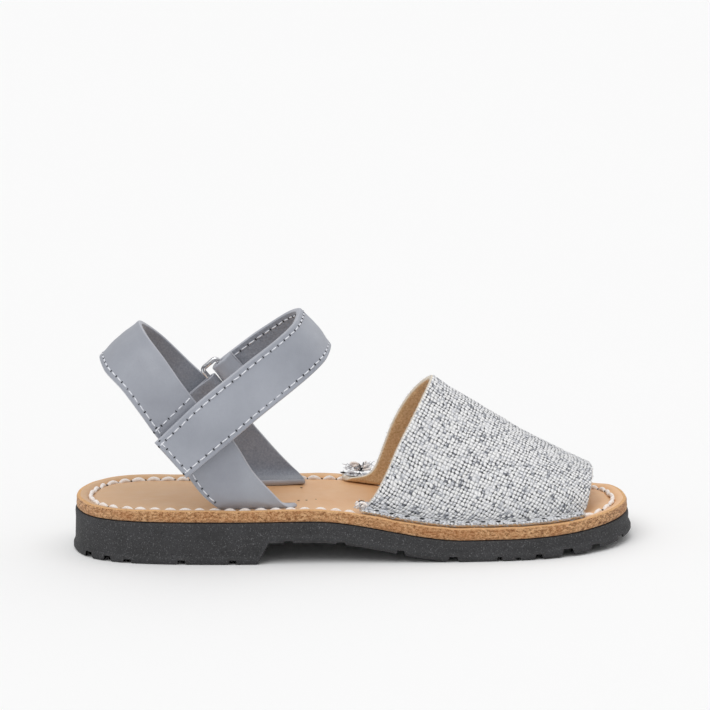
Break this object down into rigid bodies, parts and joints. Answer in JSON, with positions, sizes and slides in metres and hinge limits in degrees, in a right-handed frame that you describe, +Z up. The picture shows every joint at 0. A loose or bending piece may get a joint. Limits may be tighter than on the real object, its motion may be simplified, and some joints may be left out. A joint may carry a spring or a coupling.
{
  "type": "avarca sandal",
  "caption": "Child's open-toe sandal, right foot: woven vamp, leather slingback and ankle strap on a tan leather insole and a lugged rubber sole.",
  "frame": {"origin": "centre of the bounding box at the ground, under the middle of the sole", "axes": "+X towards the toe, -Y towards the outer side of a right foot, +Z up"},
  "size_m": [0.1916, 0.0721, 0.0823],
  "materials": {
    "rubber": "matt, fine speckle",
    "tan_leather": "smooth grain top, raw nappy edge",
    "linen": "coarse grey and white weave with a suede lining",
    "grey_leather": "smooth satin grain",
    "hook_loop": "hook and loop pile",
    "steel": "bright wire",
    "thread": "waxed white thread"
  },
  "bodies": {
    "root": {"outsole": "rubber", "insole": "tan_leather", "vamp": "linen", "slingback": "grey_leather", "ankle_strap": "grey_leather", "hook_loop_patch": "hook_loop", "ring": "steel", "ring_tab": "grey_leather"}
  },
  "joints": []
}
